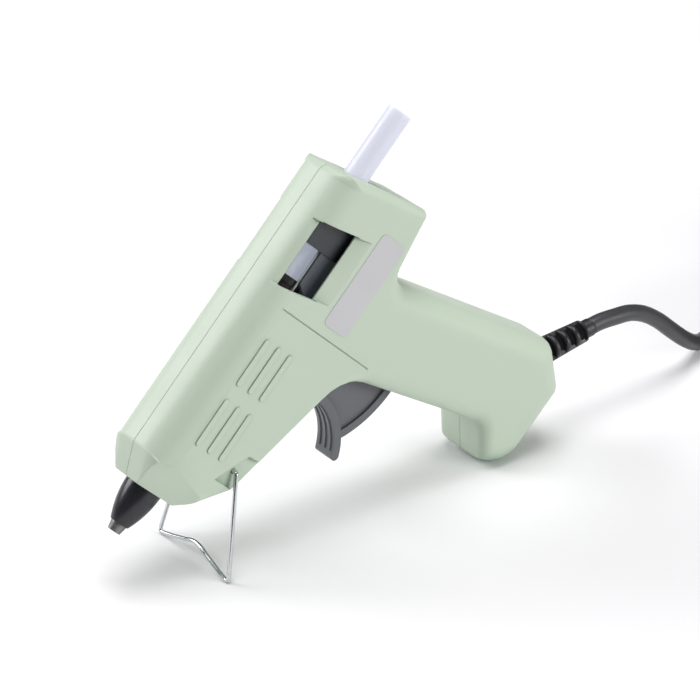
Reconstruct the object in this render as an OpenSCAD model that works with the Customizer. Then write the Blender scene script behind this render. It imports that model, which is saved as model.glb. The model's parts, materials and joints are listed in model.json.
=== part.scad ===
// Mini hot-melt glue gun on its fold-out wire stand, with its lead wound up behind it.
// Everything is drawn in the gun's own axes: x runs back along the glue stick from the
// nose, z up from the stick's centre line, y across. place() then stands the gun on the floor.

/* [Body] */
// Half of the body's thickness
half_width = 11.5; // [11:0.25:12.5]
// Height of the barrel's flat top above the stick
barrel_top = 12.6; // [12:0.2:13.4]
// Length of the barrel from the nose to the rear face at stick height
barrel_length = 101; // [99:0.5:103]
// Wall thickness of the two mouldings
wall = 2; // [1.6:0.1:2.2]
// Rounding along the barrel's top edges
top_round = 8; // [6:0.5:8.5]
// Rounding along the grip's edges
grip_round = 7; // [5:0.5:8]
// Rounding along the lower edges
low_round = 2.6; // [2.2:0.2:3.2]
// How far back the rear face leans for each mm down
rear_slope = 0.18; // [0.12:0.01:0.24]
// Depth of the heel below the stick
heel_drop = 20.6; // [19.8:0.2:21.4]
// Depth of the grip's foot below the stick
grip_drop = 106; // [104:0.5:108]
// Width of the parting gap between the two mouldings
seam_gap = 0.06; // [0.04:0.01:0.1]

/* [Stance] */
// Angle of the barrel above the floor
tilt = 45.7; // [44:0.1:47]

/* [Glue path] */
// Diameter of the glue stick
stick_d = 7.2; // [7:0.1:7.3]
// How far the stick sticks out behind the body
stick_out = 21; // [15:1:60]
// Clearance around the stick
stick_gap = 0.25; // [0.2:0.05:0.35]
// Diameter of the melting chamber
chamber_d = 11.6; // [11.2:0.1:12]
// Length of the melting chamber
chamber_length = 40; // [38:1:42]
// Length of the bare metal tip in front of its sleeve
tip_length = 2.6; // [2:0.2:3.2]
// Length of the nozzle sleeve in front of the nose
sleeve_length = 11.8; // [11:0.2:12.6]
// Outlet diameter of the nozzle
outlet_d = 1.8; // [1.4:0.1:2]

/* [Trigger] */
// Travel of the trigger in degrees
trigger_travel = 22; // [16:1:23]
// Height of the trigger's pivot below the stick
pivot_drop = 20; // [19.6:0.2:20.4]
// Radius of the trigger's lower rim about its pivot
trigger_radius = 34.4; // [33.8:0.2:35]
// Width of the finger plate
finger_width = 7.6; // [7:0.2:7.8]
// Diameter of the pivot pin
pivot_d = 3; // [2.6:0.1:3.2]
// Running clearance of pins in their holes
pin_gap = 0.06; // [0.04:0.01:0.08]

/* [Stand] */
// Thickness of the stand's wire
wire_d = 1.3; // [1.2:0.1:1.4]
// Forward lean of the stand's legs from upright, in degrees
stand_lean = 13; // [10:0.5:16]
// Distance of each foot from the middle
foot_reach = 16.5; // [15:0.5:18]
// Rise of the cross wire in its middle
arch_rise = 4; // [3:0.5:5]

/* [Lead] */
// Diameter of the power lead
lead_d = 5; // [4.8:0.1:5.2]
// Length of the strain relief outside the body
relief_length = 20; // [20:0.5:22]
// Diameter of the strain relief at the body
relief_d = 7.8; // [7.4:0.1:8.2]

/* [Hidden] */

$fn = 48;

// A disc or tube along x between two stations
module along(x0, x1, d) translate([x0, 0, 0]) rotate([0, 90, 0]) cylinder(d = d, h = x1 - x0);

// A cylinder across the body at (x, z), between two y values
module across(x, z, y0, y1, d)
    translate([x, y1, z]) rotate([90, 0, 0]) cylinder(d = d, h = y1 - y0);

// A flat outline in x and z, extruded across the body between two y values
module slab(y0, y1) translate([0, y1, 0]) rotate([90, 0, 0]) linear_extrude(y1 - y0) children();

// ---------------------------------------------------------------- the body's outline
nose_len = 9;             // length of the nose's sloping top
butt_front = 58.2;        // front of the grip's foot
foot_rise = 0.8;          // the sole rises this much towards its front
butt_round = 10.5;        // radius under the front of the foot
function rear_x(z) = barrel_length - rear_slope * z;

grip_slope = 0.196;       // the grip's back leans this much for each mm down
grip_back = 79;           // where the line of the grip's back would meet the stick's height
function grip_back_x(z) = grip_back - grip_slope * z;

belly = [12.5, -18.2];    // under the nose, where the stand is hinged
arch = [54.5, -29.5];     // top of the finger opening
throat = [66.2, -85];     // front of the grip above its foot
hook = [57.6, -94.5];     // front tip of the foot

// x, z, corner radius, rounding of the edge that follows
corners = [
    [0, 7.8, 0.8, 0.75 * top_round],
    [nose_len, barrel_top, 3, top_round],
    [rear_x(barrel_top), barrel_top, 3, low_round],
    [rear_x(-heel_drop), -heel_drop, 2, low_round],
    [grip_back_x(-24.2), -24.2, 7, grip_round],
    [grip_back_x(-92.4), -92.4, 4.5, grip_round - 1],
    [87.2, -grip_drop, 4.5, grip_round],
    [butt_front, foot_rise - grip_drop, butt_round, grip_round - 1],
    [hook[0], hook[1], 1.6, grip_round - 3],
    [throat[0], throat[1], 5, grip_round - 2],
    [arch[0], arch[1], 15, low_round],
    [belly[0], belly[1], 3, low_round],
    [0, -5.6, 0.8, 0.8]
];
n_corners = len(corners);

function unit(v) = v / norm(v);
function inward(u) = [u[1], -u[0]];
function cross2(a, b) = a[0] * b[1] - a[1] * b[0];
function xz(c) = [c[0], c[1]];
function before(i) = (i + n_corners - 1) % n_corners;
function after(i) = (i + 1) % n_corners;
function edge_dir(i) = unit(xz(corners[after(i)]) - xz(corners[i]));

// Corner i moved inward by d0 from the edge before it and by d1 from the edge after it
function inset_corner(i, d0, d1) =
    let (n0 = inward(edge_dir(before(i))), n1 = inward(edge_dir(i)), c = cross2(n0, n1))
    xz(corners[i]) + [d0 * n1[1] - d1 * n0[1], d1 * n0[0] - d0 * n1[0]] / c;

function turn(i) = asin(cross2(edge_dir(before(i)), edge_dir(i)));
function steps(i) = max(2, round(abs(turn(i)) / 14));

// The rounded corner i, inset as above, as [x, z, share of the way round the corner]
function corner_arc(i, d0, d1) =
    let (
        p = inset_corner(i, d0, d1),
        u0 = edge_dir(before(i)),
        u1 = edge_dir(i),
        a = turn(i),
        side = a < 0 ? 1 : -1,
        r = max(0.25, corners[i][2] - side * min(d0, d1)),
        centre = p - u0 * r * tan(abs(a) / 2) + side * inward(u0) * r
    )
    [for (k = [0:steps(i)])
        let (
            t = abs(a) * k / steps(i),
            q = centre - side * r * inward(u0) * cos(t) + r * u0 * sin(t)
        )
        [q[0], q[1], k / steps(i)]];

// One ring of the moulding's skin at rounding angle phi, inset by the wall w
function ring(w, phi) =
    [for (i = [0:n_corners - 1])
        let (
            r0 = max(0.6, corners[before(i)][3] - w),
            r1 = max(0.6, corners[i][3] - w),
            k = 1 - cos(phi)
        )
        for (q = corner_arc(i, w + r0 * k, w + r1 * k))
            let (r = r0 + (r1 - r0) * q[2])
            [q[0], w + r * (1 - sin(phi)) - half_width, q[1]]];

// Places in a ring of the first and last point of corner i
function first_of(i) = i == 0 ? 0 : first_of(i - 1) + steps(i - 1) + 1;
function last_of(i) = first_of(i) + steps(i);
function run(a, b) = [for (j = [a:b]) j];
ring_size = last_of(n_corners - 1) + 1;
// The flat side as five flat parts, each in full view of its own first point: the barrel, two
// between the inner corners in front of and behind the grip, the grip and the foot
side_parts = [
    concat([first_of(4), last_of(10)], run(first_of(11), ring_size - 1), run(0, first_of(4) - 1)),
    concat([last_of(10)], run(first_of(4), last_of(4))),
    concat([last_of(4)], run(first_of(10), last_of(10))),
    [last_of(4), first_of(5), last_of(9), first_of(10)],
    run(first_of(5), last_of(9))
];

outer_angles = [0, 18, 36, 54, 72, 90];
inner_angles = [90, 60, 30, 0];

function flattened(r, y) = [for (p = r) [p[0], y, p[2]]];

// Half of the body as one moulding: out from the seam to the flat side, then back along the
// inside of the wall, with the rim of the seam joining the two skins
module moulding() {
    outer = concat([flattened(ring(0, 0), -seam_gap / 2)], [for (a = outer_angles) ring(0, a)]);
    inner = concat([for (a = inner_angles) ring(wall, a)], [flattened(ring(wall, 0), -seam_gap / 2)]);
    rings = concat(outer, inner);
    n = len(outer[0]);
    m = len(outer);
    polyhedron(
        points = [for (r = rings) each r],
        faces = concat(
            [for (part = side_parts) [for (j = part) (m - 1) * n + j]],
            [for (part = side_parts) [for (k = [0:len(part) - 1]) m * n + part[(len(part) - k) % len(part)]]],
            [for (k = [0:len(rings) - 1]) if (k != m - 1) for (j = [0:n - 1]) for (half = [0, 1])
                let (
                    next = (k + 1) % len(rings) * n,
                    a = k * n + j,
                    b = k * n + (j + 1) % n,
                    a2 = next + j,
                    b2 = next + (j + 1) % n
                )
                half == 0 ? [a, b, b2] : [a, b2, a2]]
        )
    );
}

// ---------------------------------------------------------------- stance on the floor
ct = cos(tilt);
st = sin(tilt);
// The grip's foot touches the floor with the lowest point of the body's outline
floor_lift = -min([for (q = ring(0, 0)) st * q[0] + ct * q[2]]);
tip_end = -sleeve_length - tip_length;
tip_d = 3.8;
relief_dir = [0.79, -0.613];      // direction of the lead out of the foot's rear corner
relief_root = [92, -98.6];        // middle of the relief where it passes the wall
relief_end = relief_root + relief_dir * relief_length;
relief_end_d = 7;
front_reach = ct * tip_end - st * tip_d / 2;
rear_reach = ct * relief_end[0] - st * relief_end[1] + relief_end_d / 2 * 0.14;
centre_shift = -(front_reach + rear_reach) / 2;

module place()
    translate([centre_shift, 0, floor_lift]) rotate([0, -tilt, 0]) children();

// A gun point (x, z) as a floor point (X, Z)
function stood(p) = [ct * p[0] - st * p[1] + centre_shift, st * p[0] + ct * p[1] + floor_lift];

// ---------------------------------------------------------------- openings in the body
pivot = [60, -pivot_drop];
hinge = [16.9, -14.6];
slot_half = finger_width / 2 + 0.3;    // half width of the trigger's slot
window_front = 66.3;                   // window's front edge at stick height
window_rear = 87;
window_low = -3.1;
window_high = 9.6;
recess_low = -8.1;
recess_high = 11.7;
recess_depth = 1.6;
pad_length = 14.8;                     // raised pads in two groups of three on each side
pad_width = 1.8;
pad_height = 0.35;
pad_pitch = 5.1;
pad_x = [17.3, 36.5];                  // front ends of the two groups
pad_z = -1.6;                          // height of the middle pads
// Outline of a flat-sided window between two heights, its ends parallel to the rear face
module leaning(x0, x1, z0, z1) polygon([
    [x0 - rear_slope * z0, z0],
    [x1 - rear_slope * z0, z0],
    [x1 - rear_slope * z1, z1],
    [x0 - rear_slope * z1, z1]
]);

// The sunk panel round the window, bevelled below and above the opening
module window_recess() intersection() {
    slab(-half_width - 1, 0) leaning(window_front + 0.2, window_rear - 0.2, recess_low, recess_high + 2);
    translate([50, 0, 0]) rotate([90, 0, 90]) linear_extrude(50) polygon([
        [-half_width - 1, recess_low - 1],
        [-half_width, recess_low],
        [recess_depth - half_width, window_low],
        [recess_depth - half_width + 1.3, window_high],
        [recess_depth - half_width + 2.7, recess_high],
        [recess_depth - half_width + 2.7, recess_high + 3],
        [-half_width - 1, recess_high + 3]
    ]);
}
module window_opening()
    slab(-half_width - 1, -4) leaning(window_front, window_rear, window_low, window_high);

module pad(x, z) slab(-half_width - pad_height, 1 - half_width) translate([x, z]) {
    translate([pad_width / 2, -pad_width / 2]) square([pad_length - pad_width, pad_width]);
    translate([pad_width / 2, 0]) circle(d = pad_width);
    translate([pad_length - pad_width / 2, 0]) circle(d = pad_width);
}

// The nose narrows to its flat face: a slanting plane takes off each side
module nose_bevel()
    multmatrix([[1, 0, 0.25, 0], [0, 1, 0, 0], [0, 0, 1, 0], [0, 0, 0, 1]]) linear_extrude(80, center = true)
        polygon([[-2, -6.3 + 2 / 1.58], [-2, -30], [8.2, -half_width - 1], [8.2, -half_width]]);

// ---------------------------------------------------------------- fixings inside the body
nozzle_hole = 8.4;
screw_d = 2.3;
head_d = 3.8;
boss_d = 4.4;
boss_reach = half_width - wall + 0.1;  // bosses end in the wall at this distance from the seam
case_holes = [
    [56, 7.4], [barrel_length - 7, 7.4], [28, -14.4], [barrel_length - 3, -13], [82, -66], [67, -95]
];
spring_post = [barrel_length - 10, -12.6];
pivot_boss = 8.9;                      // the pivot's bosses end here, beside the trigger's arms
hinge_boss = 6.8;                      // the stand's bosses end here

module seam_box(y0, y1) translate([-5, y0, -grip_drop - 5]) cube([120, y1 - y0, grip_drop + 25]);

module chamber_rib(x, z0) difference() {
    translate([x, wall - half_width - 0.2, z0]) cube([1.5, half_width - wall + 0.2 - seam_gap / 2, 8.6 - z0]);
    along(x - 1, x + 3, chamber_d + 0.1);
}

relief_angle = atan2(relief_dir[1], relief_dir[0]);
// Something drawn along x is laid along the strain relief, starting at its root
module at_relief() translate([relief_root[0], 0, relief_root[1]]) rotate([0, -relief_angle, 0]) children();
clamp_x = -9;                          // the cord clamp's place along the relief's line
clamp_span = 5.2;                      // distance of its screws from the cord

module half_shell() difference() {
    union() {
        moulding();
        // Bosses for the case screws
        for (p = case_holes) across(p[0], p[1], -boss_reach, -seam_gap / 2, boss_d);
        // Bosses of the trigger's pivot and of the stand's hinge
        across(pivot[0], pivot[1], -boss_reach, -pivot_boss, pivot_d + 4);
        across(hinge[0], hinge[1], -boss_reach, -hinge_boss, 4.6);
        // Post that the return spring hooks onto
        across(spring_post[0], spring_post[1], -boss_reach, -seam_gap / 2, post_d);
        // Solid nose behind the bevelled front
        slab(-boss_reach, -seam_gap / 2) polygon([[1.2, -5], [1.2, 6.6], [3, 7], [10.6, 7.4], [10.6, -14.8]]);
        // Ribs that carry the melting chamber, and the guide for the stick
        chamber_rib(12.4, -8);
        chamber_rib(38.6, -6.8);
        for (x = pad_x, k = [-1:1]) pad(x, pad_z + k * pad_pitch);
        intersection() {
            along(barrel_length - 9, barrel_length - 2.5, stick_d + 5);
            seam_box(-10, -seam_gap / 2);
        }
    }
    nose_bevel();
    along(-1, 11, nozzle_hole);
    along(wall, 12, chamber_d + 0.4);
    along(barrel_length - 16, barrel_length + 9, stick_d + 2 * stick_gap);
    window_recess();
    window_opening();
    // Fine line where the mould's side core ends
    slab(-half_width - 1, 0.25 - half_width) translate([60, -33.6]) square([0.3, 39]);
    // Pocket and hole for the stand's wire
    slab(-half_width - 1, 1.5 - half_width) polygon([
        hinge + [-4.6, 5.4], hinge + [1.2, 2.2], hinge + [5.6, -0.6], hinge + [6, -8], hinge + [-4.6, -8]
    ]);
    across(hinge[0], hinge[1], -half_width - 1, -6, wire_d + 2 * pin_gap);
    across(pivot[0], pivot[1], 0.9 - half_width, 1, pivot_d + 2 * pin_gap);
    // Slot that the trigger swings into
    slab(-slot_half, 1) polygon([[41.5, -20], [41.5, -34], [56, -57], [64.5, -57], [59, -30], [55, -24]]);
    // Way out for the strain relief
    at_relief() along(-3, 12, relief_d + 0.2);
}

module left_shell() color([0.75, 0.81, 0.73]) {
    difference() {
        half_shell();
        for (p = case_holes) across(p[0], p[1], -6.5, 1, screw_d + 0.1);
    }
    // Posts under the cord clamp
    for (k = [-1, 1]) at_relief() translate([clamp_x, 0, k * clamp_span]) difference() {
        across(0, 0, -boss_reach, lead_d / 2, 4);
        across(0, 0, -4, lead_d, 1.8);
    }
}

module right_shell() color([0.75, 0.81, 0.73]) mirror([0, 1, 0]) difference() {
    union() {
        half_shell();
        for (p = case_holes) across(p[0], p[1], 0.3 - boss_reach, -5.4, head_d + 1.6);
    }
    for (p = case_holes) {
        across(p[0], p[1], -half_width, 1, screw_d + 0.4);
        across(p[0], p[1], -half_width - 1, -half_width + 3.4, head_d + 0.3);
    }
}

module case_screws() color("silver") for (p = case_holes) difference() {
    union() {
        across(p[0], p[1], -5.5, half_width - 3.4, screw_d);
        across(p[0], p[1], half_width - 3.4, half_width - 1.6, head_d);
    }
    // Cross recess
    translate([p[0], half_width - 1.6, p[1]]) for (a = [45, 135]) rotate([0, a, 0]) cube([2.4, 1.8, 0.6], center = true);
}

// ---------------------------------------------------------------- glue path
module nozzle() color("silver") difference() {
    union() {
        translate([tip_end, 0, 0]) rotate([0, 90, 0]) cylinder(d1 = tip_d, d2 = 4.8, h = tip_length);
        along(tip_end + tip_length, -3, 4.8);
        along(-3, 2, 7);
    }
    along(tip_end - 1, -6, outlet_d);
    along(-6.5, 3, 3.4);
}

sleeve_swell = 29.8;                   // radius of the sleeve's long curve
// Moulded rubber over the nozzle, swelling towards the nose
module nozzle_sleeve() color([0.12, 0.12, 0.13]) rotate([0, 90, 0]) rotate_extrude() difference() {
    intersection() {
        translate([5.5 - sleeve_swell, 0.6]) circle(r = sleeve_swell, $fn = 96);
        translate([0, -sleeve_length]) square([8, sleeve_length]);
    }
    translate([0, -sleeve_length - 1]) square([2.45, sleeve_length - 1.9]);
    translate([0, -3.05]) square([3.55, 6]);
}

chamber_front = wall + 0.05;
chamber_rear = chamber_front + chamber_length;
spigot = [8.8, 6];                     // diameter and length of the end that the sleeve fits over
heater_x = [15, 36];
heater_block = [-10.4, 6];             // lowest level and half width of the heater's block
slot_z = [-9.5, -7.1];                 // levels of the heater's slot
module melt_chamber() color("silver") difference() {
    union() {
        along(chamber_front, chamber_rear, chamber_d);
        along(chamber_rear, chamber_rear + spigot[1], spigot[0]);
        translate([heater_x[0], -heater_block[1], heater_block[0]])
            cube([heater_x[1] - heater_x[0], 2 * heater_block[1], -heater_block[0]]);
    }
    along(8, 60, stick_d + 2 * stick_gap);
    along(1, 9, 3.4);
    translate([heater_x[0] - 1, -4.5, slot_z[0]]) cube([30, 9, slot_z[1] - slot_z[0]]);
}
module ptc_heater() color("dimgray")
    translate([heater_x[0] + 1, -4.3, slot_z[0] + 0.05])
        cube([heater_x[1] - heater_x[0] + 0.6, 8.6, slot_z[1] - slot_z[0] - 0.1]);

// Spring clip that presses the block on the heater
clip_t = 0.5;
clip_x = 20;
clip_length = 10;
clip_height = 7;
module heater_clip() color("gray") {
    low = heater_block[0] - 0.05 - clip_t;
    side = heater_block[1] + 0.05;
    translate([clip_x, -side - clip_t, low]) cube([clip_length, 2 * (side + clip_t), clip_t]);
    for (y = [side, -side - clip_t]) translate([clip_x, y, low]) cube([clip_length, clip_t, clip_height]);
}

// Soft tube that leads the stick into the chamber, held on the spigot by a spring band
inlet_end = 68.6;
inlet_d = 10;
module inlet_sleeve() color([0.13, 0.12, 0.12]) difference() {
    union() {
        along(chamber_rear + 0.05, inlet_end, inlet_d);
        along(inlet_end - 2, inlet_end, inlet_d + 0.6);
    }
    along(40, 70, stick_d + 2 * stick_gap);
    along(40, chamber_rear + spigot[1] + 0.05, spigot[0] + 0.1);
}
module sleeve_clamp() color("gray") difference() {
    along(chamber_rear + 2, chamber_rear + 4.5, inlet_d + 1.2);
    along(chamber_rear, chamber_rear + 6, inlet_d + 0.04);
}

stick_front = 20;
module glue_stick() color([0.86, 0.88, 0.95, 0.8]) difference() {
    along(stick_front, rear_x(0) + stick_out, stick_d);
    along(rear_x(0) + stick_out - 0.25, rear_x(0) + stick_out + 1, 2);
}

// ---------------------------------------------------------------- trigger and carriage
arm_length = 18;                       // from the trigger's pivot up to the carriage's studs
rest_lean = trigger_travel / 2;        // the arm leans back at rest and forward when pulled
stud = [pivot[0] + arm_length * rest_lean * PI / 180, pivot[1] + arm_length];
stud_d = 2.6;
rail = [5.5, 7, -8.2, -2];             // carriage side rails: inner and outer y, low and high z
rail_top = 1.2;                        // top of the rails beside the stick
block_x = [barrel_length - 22.4, barrel_length - 13];
collar_top = 8.6;
jaw_axis = [block_x[1] - 3, -7];
jaw_half = 2.2;

module carriage() color([0.36, 0.37, 0.4]) difference() {
    union() {
        // Floor and two side rails reaching forward under the stick
        translate([stud[0] - 3, -rail[1], rail[2]]) cube([block_x[1] - stud[0] + 3, 2 * rail[1], 1.8]);
        for (k = [-1, 1]) {
            slab(k > 0 ? rail[0] : -rail[1], k > 0 ? rail[1] : -rail[0]) polygon([
                [stud[0] - 3, rail[2]], [block_x[0] + 1, rail[2]], [block_x[0] + 1, rail_top],
                [stud[0] + 5, rail_top], [stud[0] + 3, rail[3]], [stud[0] - 3, rail[3]]
            ]);
            across(stud[0], stud[1], k > 0 ? rail[0] : -rail[1], k > 0 ? rail[1] : -rail[0], 5);
            across(stud[0], stud[1], k > 0 ? rail[0] : -rail[1] - 2, k > 0 ? rail[1] + 2 : -rail[0], stud_d);
        }
        // Collar round the stick
        translate([block_x[0], -rail[1], rail[2]])
            cube([block_x[1] - block_x[0], 2 * rail[1], collar_top - rail[2]]);
    }
    along(60, block_x[1] + 7, stick_d + 2 * stick_gap);
    // Room for the jaw and the bore of its pin
    translate([block_x[0] + 1, -jaw_half - 0.25, rail[2] - 1]) cube([8.6, 2 * jaw_half + 0.5, 6.5]);
    across(jaw_axis[0], jaw_axis[1], -rail[1] - 1, rail[1] + 1, 2);
}
module jaw_pin() color("silver") across(jaw_axis[0], jaw_axis[1], -rail[1], rail[1], 2 - 0.04);
module grip_jaw() color([0.5, 0.5, 0.52]) difference() {
    slab(-jaw_half, jaw_half) {
        translate(jaw_axis) circle(d = 2.4);
        polygon([for (p = [[0, 1.2], [-4.2, 2.85], [-5, 2.85], [-4.8, -0.9], [0, -1.2]]) jaw_axis + p]);
    }
    across(jaw_axis[0], jaw_axis[1], -5, 5, 2 - 0.04 + 2 * 0.03);
}

finger_centre = [25.5, -31.5];
finger_r = 19.8;
plate_t = 2.6;
tip_angle = -62;
spring_lug = [66.6, -12.6];
module web_outline() difference() {
    intersection() {
        translate(pivot) circle(r = trigger_radius, $fn = 96);
        polygon([[56, -15], [48.5, -24.5], [44, -33], [30, -52], [45, -62], [66, -60], [66, -40], [64, -18]]);
    }
    translate(finger_centre) circle(r = finger_r + 0.5, $fn = 96);
}
module trigger() color([0.38, 0.39, 0.42]) difference() {
    union() {
        slab(-2.6, 2.6) {
            web_outline();
            // Neck that joins the web, the arms and the spring's lug
            polygon([[56, -20], [64, -20], spring_lug + [2, -0.6], spring_lug + [0, 1.6], [61, -11.6]]);
            translate(spring_lug) circle(r = 1.9);
        }
        // Raised rim along the lower edge
        slab(-3.4, 3.4) difference() {
            web_outline();
            translate(pivot) circle(r = trigger_radius - 2.4, $fn = 96);
        }
        // Hub on the pivot pin
        across(pivot[0], pivot[1], -5.5, 5.5, pivot_d + 5);
        // Finger plate, hollowed for the finger, with grip ridges
        slab(-finger_width / 2, finger_width / 2) {
            intersection() {
                translate(finger_centre) difference() {
                    circle(r = finger_r + plate_t, $fn = 96);
                    circle(r = finger_r, $fn = 96);
                }
                translate(finger_centre) polygon([[0, 0], 40 * [cos(20), sin(20)], 40 * [cos(30), -sin(30)],
                    40 * [cos(tip_angle), sin(tip_angle)]]);
            }
            translate(finger_centre + (finger_r + plate_t / 2) * [cos(tip_angle), sin(tip_angle)])
                circle(d = plate_t);
        }
        for (y = [-2.4, 0, 2.4]) slab(y - 0.45, y + 0.45) intersection() {
            translate(finger_centre) difference() {
                circle(r = finger_r + 0.5, $fn = 96);
                circle(r = finger_r - 0.35, $fn = 96);
            }
            translate(finger_centre) polygon([[0, 0], [40, -2], 40 * [cos(30), -sin(30)],
                40 * [cos(tip_angle + 4), sin(tip_angle + 4)]]);
        }
        // Two arms up to the carriage's studs, outside its rails
        for (k = [-1, 1]) {
            slab(k > 0 ? rail[1] + 0.2 : -rail[1] - 1.7, k > 0 ? rail[1] + 1.7 : -rail[1] - 0.2) {
                translate(pivot) rotate(-rest_lean) {
                    translate([-2.6, -2]) square([5.2, arm_length + 3]);
                    translate([0, arm_length + 1]) circle(d = 5.2);
                }
            }
            across(pivot[0], pivot[1], k > 0 ? 5.4 : -rail[1] - 0.3, k > 0 ? rail[1] + 0.3 : -5.4, pivot_d + 3.4);
        }
    }
    across(pivot[0], pivot[1], -10, 10, pivot_d + 2 * pin_gap);
    // Slots that the studs slide in as the arm swings
    slab(-12, 12) translate(pivot) rotate(-rest_lean) {
        translate([-stud_d / 2 - pin_gap, arm_length - 0.5]) square([stud_d + 2 * pin_gap, 1.2]);
        translate([0, arm_length - 0.5]) circle(d = stud_d + 2 * pin_gap);
        translate([0, arm_length + 0.7]) circle(d = stud_d + 2 * pin_gap);
    }
    // Gap between the cheeks that carry the spring's pin
    slab(-1.2, 1.2) translate([64.4, -17]) difference() {
        square([8, 8]);
        translate(spring_lug - [64.4, -17]) circle(d = lug_pin_d);
    }
}
module trigger_pivot() color("silver") across(pivot[0], pivot[1], 1 - half_width, half_width - 1, pivot_d);

// ---------------------------------------------------------------- swept wires and leads
// Tube of radius r with the given number of sides along points, its sides never twisting:
// each ring is carried over from the one before
function tangent(pts, i) = unit(pts[min(i + 1, len(pts) - 1)] - pts[max(i - 1, 0)]);
function carried(v, t) = unit(v - (v * t) * t);
function frames(pts, up, i = 0) = i == len(pts) ? [] :
    let (t = tangent(pts, i), v = carried(up, t)) concat([[t, v]], frames(pts, v, i + 1));
module tube(pts, r, sides = 8, up = [0.1, 0.2, 1]) {
    f = frames(pts, up);
    n = len(pts);
    polyhedron(
        points = [for (i = [0:n - 1], k = [0:sides - 1])
            pts[i] + r * (cos(360 * k / sides) * f[i][1] + sin(360 * k / sides) * cross(f[i][0], f[i][1]))],
        faces = concat(
            [[for (k = [0:sides - 1]) k]],
            [for (i = [0:n - 2], k = [0:sides - 1]) let (m = (k + 1) % sides)
                [i * sides + k, (i + 1) * sides + k, (i + 1) * sides + m, i * sides + m]],
            [[for (k = [sides - 1:-1:0]) (n - 1) * sides + k]]
        )
    );
}
// A smooth curve through the points: Catmull-Rom, n steps from each point to the next
function spline(p, n) = concat(
    [for (i = [0:len(p) - 2], k = [0:n - 1])
        let (a = p[max(i - 1, 0)], b = p[i], c = p[i + 1], d = p[min(i + 2, len(p) - 1)], t = k / n)
        ((2 * b) + (c - a) * t + (2 * a - 5 * b + 4 * c - d) * t * t + (3 * b - a - 3 * c + d) * t * t * t) / 2],
    [p[len(p) - 1]]);

spring_r = 1.8;
spring_wire = 0.35;
spring_turns = 9;
spring_from = spring_lug[0] + 4.4;
spring_to = spring_post[0] - 4.4;
lug_pin_d = 1.8;
post_d = 2.4;
function hook_arc(c, r, angles) = [for (a = angles) [c[0] + r * cos(a), 0, c[1] + r * sin(a)]];
// Pulls the trigger's arm back along the barrel: a close coil with a hook at each end
module return_spring() color("silver") {
    z = spring_lug[1];
    lug_r = lug_pin_d / 2 + spring_wire + 0.05;
    post_r = post_d / 2 + spring_wire + 0.05;
    tube(concat(
        hook_arc(spring_lug, lug_r, [300, 255, 210, 165, 125, 90]),
        [[spring_lug[0] + 1.6, 0, z + 0.9], [spring_from - 1.5, 0, z - 0.2], [spring_from - 0.7, -0.3, z - 1.1]],
        [for (k = [0:spring_turns * 8])
            [spring_from + (spring_to - spring_from) * k / (spring_turns * 8),
             spring_r * sin(k * 45), z - spring_r * cos(k * 45)]],
        [[spring_to + 0.7, 0.3, z - 1.1], [spring_to + 1.5, 0, z - 0.2], [spring_post[0] - 1.6, 0, z + 1.2]],
        hook_arc(spring_post, post_r, [90, 50, 10, -30, -70, -110])
    ), spring_wire, 6, [0, 1, 0.1]);
}

// ---------------------------------------------------------------- wire stand
hinge_height = stood(hinge)[1];
leg_drop = hinge_height - wire_d / 2;
// Foot of the stand: on the floor, forward of the hinge by the lean of the legs
foot_floor = [stood(hinge)[0] - leg_drop * tan(stand_lean), wire_d / 2];
hinge_in = half_width - 3.4;           // the wire's ends reach in to this y
leg_top = half_width + 0.1;
module wire_stand() color("silver") {
    up = unit([leg_drop * tan(stand_lean), 0, leg_drop]);
    top = [stood(hinge)[0], 0, stood(hinge)[1]];
    foot = [foot_floor[0], 0, foot_floor[1]];
    half = [
        top + [0, hinge_in, 0],
        top + [0, leg_top - 0.7, 0],
        top + [0, leg_top - 0.2, 0] - 0.2 * up,
        top + [0, leg_top, 0] - 0.7 * up,
        foot + [0, foot_reach, 0] + 1.5 * up,
        foot + [0, foot_reach - 0.1, 0] + 0.5 * up,
        foot + [0, foot_reach - 0.6, 0] + 0.05 * up,
        foot + [0, foot_reach - 1.6, 0] + 0.1 * up,
        foot + [0, foot_reach - 6, 0] + 1.2 * up,
        foot + [0, foot_reach - 10, 0] + 2.4 * up
    ];
    arch_pts = [for (y = [4.5, 3, 1.5, 0]) foot + [0, y, 0] + (arch_rise - 0.05 * y * y) * up];
    one = concat(half, arch_pts);
    tube(concat(one, [for (i = [len(one) - 2:-1:0]) [one[i][0], -one[i][1], one[i][2]]]), wire_d / 2, 8, [1, 0, 0.3]);
}

// ---------------------------------------------------------------- lead and strain relief
relief_inside = 1.9;
module strain_relief() color([0.1, 0.1, 0.11]) at_relief() difference() {
    union() {
        // Tapered boot with its collars, and the flange that the body's wall grips
        translate([-relief_inside, 0, 0]) rotate([0, 90, 0])
            cylinder(d1 = relief_d, d2 = relief_end_d - 0.2, h = relief_length + relief_inside);
        along(relief_length - 3, relief_length, relief_end_d + 0.2);
        along(-relief_inside - 1.6, -relief_inside, relief_d + 2.4);
    }
    along(-10, 60, lead_d + 0.1);
    // Grooves that let it bend
    for (k = [0:3]) translate([5.6 + 3 * k, 0, 0]) difference() {
        along(0, 1.3, relief_d + 1);
        along(-1, 3, lead_d + 1.1);
    }
}
module cord_clamp() color([0.2, 0.2, 0.21]) at_relief() difference() {
    translate([clamp_x - 2, lead_d / 2 + 0.05, -clamp_span - 2.4]) cube([4, 2.2, 2 * clamp_span + 4.8]);
    for (k = [-1, 1]) across(clamp_x, k * clamp_span, 0, 8, 2);
}
module clamp_screws() color("silver") at_relief() for (k = [-1, 1]) translate([clamp_x, 0, k * clamp_span]) {
    across(0, 0, -2.5, lead_d / 2 + 2.3, 1.7);
    across(0, 0, lead_d / 2 + 2.3, lead_d / 2 + 3.6, 3.4);
}

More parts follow.
